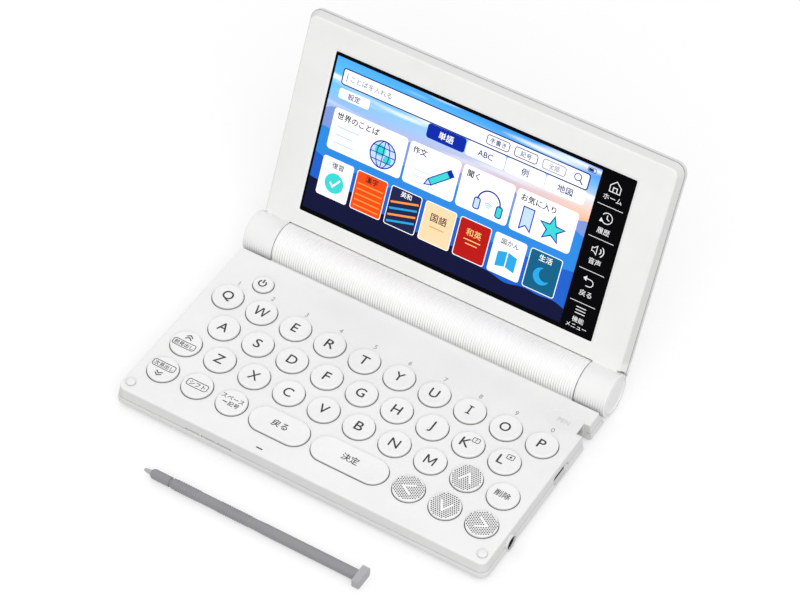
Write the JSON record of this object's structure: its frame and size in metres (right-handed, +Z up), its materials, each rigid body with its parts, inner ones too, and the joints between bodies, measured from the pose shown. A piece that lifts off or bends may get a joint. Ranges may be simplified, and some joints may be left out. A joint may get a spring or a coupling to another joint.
{
  "type": "electronic dictionary",
  "caption": "Clamshell electronic dictionary: round keys on a thin base, colour touch display in a lid that turns on a ribbed battery barrel, and a loose stylus.",
  "frame": {"origin": "middle of the footprint of the opened device with its stylus, on the surface it stands on", "axes": "+Z up, +X to the right of a person who reads the display, +Y away from that person"},
  "size_m": [0.1552, 0.1612, 0.0907],
  "materials": {
    "case": "fine satin, light catches its rounded edges",
    "case_low": "smooth semi-gloss",
    "key": "satin, slightly dished tops",
    "bump": "soft matt",
    "foot": "soft matt",
    "cap": "satin",
    "stylus": "satin grey",
    "nib": "smooth",
    "glass_black": "polished, clear over the display",
    "display": "lit colour display",
    "jack": "smooth",
    "socket": "folded sheet",
    "steel": "plain turned",
    "contact": "sprung sheet and wire",
    "cell": "printed sleeve",
    "board": "solder resist",
    "sheet": "moulded silicone",
    "speaker": "dull"
  },
  "bodies": {
    "base": {"lower_case": "case_low", "upper_case": "case", "hinge_barrel": "case_low", "battery_cells": "cell", "battery_contacts": "contact", "circuit_board": "board", "key_sheet": "sheet", "headphone_jack": "jack", "usb_socket": "socket", "speaker": "speaker", "rubber_feet": "foot", "bump_stops": "bump", "case_screws": "steel", "hinge_shafts": "steel"},
    "lid": {"lid_bezel": "case", "lid_cover": "case_low", "touch_glass": "glass_black", "lcd_panel": "display", "hinge_caps": "cap"},
    "battery_cover": {"battery_cover": "case_low"},
    "stylus": {"stylus_barrel": "stylus", "stylus_tip": "nib"},
    "key_q": {"key_q": "key"},
    "key_w": {"key_w": "key"},
    "key_e": {"key_e": "key"},
    "key_r": {"key_r": "key"},
    "key_t": {"key_t": "key"},
    "key_y": {"key_y": "key"},
    "key_u": {"key_u": "key"},
    "key_i": {"key_i": "key"},
    "key_o": {"key_o": "key"},
    "key_p": {"key_p": "key"},
    "key_a": {"key_a": "key"},
    "key_s": {"key_s": "key"},
    "key_d": {"key_d": "key"},
    "key_f": {"key_f": "key"},
    "key_g": {"key_g": "key"},
    "key_h": {"key_h": "key"},
    "key_j": {"key_j": "key"},
    "key_k": {"key_k": "key"},
    "key_l": {"key_l": "key"},
    "key_z": {"key_z": "key"},
    "key_x": {"key_x": "key"},
    "key_c": {"key_c": "key"},
    "key_v": {"key_v": "key"},
    "key_b": {"key_b": "key"},
    "key_n": {"key_n": "key"},
    "key_m": {"key_m": "key"},
    "key_power": {"key_power": "key"},
    "key_prev": {"key_prev": "key"},
    "key_up": {"key_up": "key"},
    "key_delete": {"key_delete": "key"},
    "key_next": {"key_next": "key"},
    "key_shift": {"key_shift": "key"},
    "key_space": {"key_space": "key"},
    "key_back": {"key_back": "key"},
    "key_enter": {"key_enter": "key"},
    "key_left": {"key_left": "key"},
    "key_down": {"key_down": "key"},
    "key_right": {"key_right": "key"}
  },
  "joints": [
    {"name": "lid_hinge", "type": "hinge", "parent": "base", "child": "lid", "pos_m": [0, 0.0368, 0.00885], "axis": [1, 0, 0], "range_deg": [-51.5, 113.5]},
    {"name": "battery_cover_pull", "type": "slide", "parent": "base", "child": "battery_cover", "axis": [0, 0.454, -0.891], "range_m": [0, 0.02]},
    {"name": "stylus_lift", "type": "slide", "parent": "base", "child": "stylus", "axis": [0, 0, 1], "range_m": [0, 0.03]},
    {"name": "key_q_press", "type": "slide", "parent": "base", "child": "key_q", "axis": [0, 0, -1], "range_m": [0, 0.0005], "stiffness_N_per_m": 300, "springref_m": -0.0008},
    {"name": "key_w_press", "type": "slide", "parent": "base", "child": "key_w", "axis": [0, 0, -1], "range_m": [0, 0.0005], "stiffness_N_per_m": 300, "springref_m": -0.0008},
    {"name": "key_e_press", "type": "slide", "parent": "base", "child": "key_e", "axis": [0, 0, -1], "range_m": [0, 0.0005], "stiffness_N_per_m": 300, "springref_m": -0.0008},
    {"name": "key_r_press", "type": "slide", "parent": "base", "child": "key_r", "axis": [0, 0, -1], "range_m": [0, 0.0005], "stiffness_N_per_m": 300, "springref_m": -0.0008},
    {"name": "key_t_press", "type": "slide", "parent": "base", "child": "key_t", "axis": [0, 0, -1], "range_m": [0, 0.0005], "stiffness_N_per_m": 300, "springref_m": -0.0008},
    {"name": "key_y_press", "type": "slide", "parent": "base", "child": "key_y", "axis": [0, 0, -1], "range_m": [0, 0.0005], "stiffness_N_per_m": 300, "springref_m": -0.0008},
    {"name": "key_u_press", "type": "slide", "parent": "base", "child": "key_u", "axis": [0, 0, -1], "range_m": [0, 0.0005], "stiffness_N_per_m": 300, "springref_m": -0.0008},
    {"name": "key_i_press", "type": "slide", "parent": "base", "child": "key_i", "axis": [0, 0, -1], "range_m": [0, 0.0005], "stiffness_N_per_m": 300, "springref_m": -0.0008},
    {"name": "key_o_press", "type": "slide", "parent": "base", "child": "key_o", "axis": [0, 0, -1], "range_m": [0, 0.0005], "stiffness_N_per_m": 300, "springref_m": -0.0008},
    {"name": "key_p_press", "type": "slide", "parent": "base", "child": "key_p", "axis": [0, 0, -1], "range_m": [0, 0.0005], "stiffness_N_per_m": 300, "springref_m": -0.0008},
    {"name": "key_a_press", "type": "slide", "parent": "base", "child": "key_a", "axis": [0, 0, -1], "range_m": [0, 0.0005], "stiffness_N_per_m": 300, "springref_m": -0.0008},
    {"name": "key_s_press", "type": "slide", "parent": "base", "child": "key_s", "axis": [0, 0, -1], "range_m": [0, 0.0005], "stiffness_N_per_m": 300, "springref_m": -0.0008},
    {"name": "key_d_press", "type": "slide", "parent": "base", "child": "key_d", "axis": [0, 0, -1], "range_m": [0, 0.0005], "stiffness_N_per_m": 300, "springref_m": -0.0008},
    {"name": "key_f_press", "type": "slide", "parent": "base", "child": "key_f", "axis": [0, 0, -1], "range_m": [0, 0.0005], "stiffness_N_per_m": 300, "springref_m": -0.0008},
    {"name": "key_g_press", "type": "slide", "parent": "base", "child": "key_g", "axis": [0, 0, -1], "range_m": [0, 0.0005], "stiffness_N_per_m": 300, "springref_m": -0.0008},
    {"name": "key_h_press", "type": "slide", "parent": "base", "child": "key_h", "axis": [0, 0, -1], "range_m": [0, 0.0005], "stiffness_N_per_m": 300, "springref_m": -0.0008},
    {"name": "key_j_press", "type": "slide", "parent": "base", "child": "key_j", "axis": [0, 0, -1], "range_m": [0, 0.0005], "stiffness_N_per_m": 300, "springref_m": -0.0008},
    {"name": "key_k_press", "type": "slide", "parent": "base", "child": "key_k", "axis": [0, 0, -1], "range_m": [0, 0.0005], "stiffness_N_per_m": 300, "springref_m": -0.0008},
    {"name": "key_l_press", "type": "slide", "parent": "base", "child": "key_l", "axis": [0, 0, -1], "range_m": [0, 0.0005], "stiffness_N_per_m": 300, "springref_m": -0.0008},
    {"name": "key_z_press", "type": "slide", "parent": "base", "child": "key_z", "axis": [0, 0, -1], "range_m": [0, 0.0005], "stiffness_N_per_m": 300, "springref_m": -0.0008},
    {"name": "key_x_press", "type": "slide", "parent": "base", "child": "key_x", "axis": [0, 0, -1], "range_m": [0, 0.0005], "stiffness_N_per_m": 300, "springref_m": -0.0008},
    {"name": "key_c_press", "type": "slide", "parent": "base", "child": "key_c", "axis": [0, 0, -1], "range_m": [0, 0.0005], "stiffness_N_per_m": 300, "springref_m": -0.0008},
    {"name": "key_v_press", "type": "slide", "parent": "base", "child": "key_v", "axis": [0, 0, -1], "range_m": [0, 0.0005], "stiffness_N_per_m": 300, "springref_m": -0.0008},
    {"name": "key_b_press", "type": "slide", "parent": "base", "child": "key_b", "axis": [0, 0, -1], "range_m": [0, 0.0005], "stiffness_N_per_m": 300, "springref_m": -0.0008},
    {"name": "key_n_press", "type": "slide", "parent": "base", "child": "key_n", "axis": [0, 0, -1], "range_m": [0, 0.0005], "stiffness_N_per_m": 300, "springref_m": -0.0008},
    {"name": "key_m_press", "type": "slide", "parent": "base", "child": "key_m", "axis": [0, 0, -1], "range_m": [0, 0.0005], "stiffness_N_per_m": 300, "springref_m": -0.0008},
    {"name": "key_power_press", "type": "slide", "parent": "base", "child": "key_power", "axis": [0, 0, -1], "range_m": [0, 0.0005], "stiffness_N_per_m": 300, "springref_m": -0.0008},
    {"name": "key_prev_press", "type": "slide", "parent": "base", "child": "key_prev", "axis": [0, 0, -1], "range_m": [0, 0.0005], "stiffness_N_per_m": 300, "springref_m": -0.0008},
    {"name": "key_up_press", "type": "slide", "parent": "base", "child": "key_up", "axis": [0, 0, -1], "range_m": [0, 0.0005], "stiffness_N_per_m": 300, "springref_m": -0.0008},
    {"name": "key_delete_press", "type": "slide", "parent": "base", "child": "key_delete", "axis": [0, 0, -1], "range_m": [0, 0.0005], "stiffness_N_per_m": 300, "springref_m": -0.0008},
    {"name": "key_next_press", "type": "slide", "parent": "base", "child": "key_next", "axis": [0, 0, -1], "range_m": [0, 0.0005], "stiffness_N_per_m": 300, "springref_m": -0.0008},
    {"name": "key_shift_press", "type": "slide", "parent": "base", "child": "key_shift", "axis": [0, 0, -1], "range_m": [0, 0.0005], "stiffness_N_per_m": 300, "springref_m": -0.0008},
    {"name": "key_space_press", "type": "slide", "parent": "base", "child": "key_space", "axis": [0, 0, -1], "range_m": [0, 0.0005], "stiffness_N_per_m": 300, "springref_m": -0.0008},
    {"name": "key_back_press", "type": "slide", "parent": "base", "child": "key_back", "axis": [0, 0, -1], "range_m": [0, 0.0005], "stiffness_N_per_m": 300, "springref_m": -0.0008},
    {"name": "key_enter_press", "type": "slide", "parent": "base", "child": "key_enter", "axis": [0, 0, -1], "range_m": [0, 0.0005], "stiffness_N_per_m": 300, "springref_m": -0.0008},
    {"name": "key_left_press", "type": "slide", "parent": "base", "child": "key_left", "axis": [0, 0, -1], "range_m": [0, 0.0005], "stiffness_N_per_m": 300, "springref_m": -0.0008},
    {"name": "key_down_press", "type": "slide", "parent": "base", "child": "key_down", "axis": [0, 0, -1], "range_m": [0, 0.0005], "stiffness_N_per_m": 300, "springref_m": -0.0008},
    {"name": "key_right_press", "type": "slide", "parent": "base", "child": "key_right", "axis": [0, 0, -1], "range_m": [0, 0.0005], "stiffness_N_per_m": 300, "springref_m": -0.0008}
  ]
}
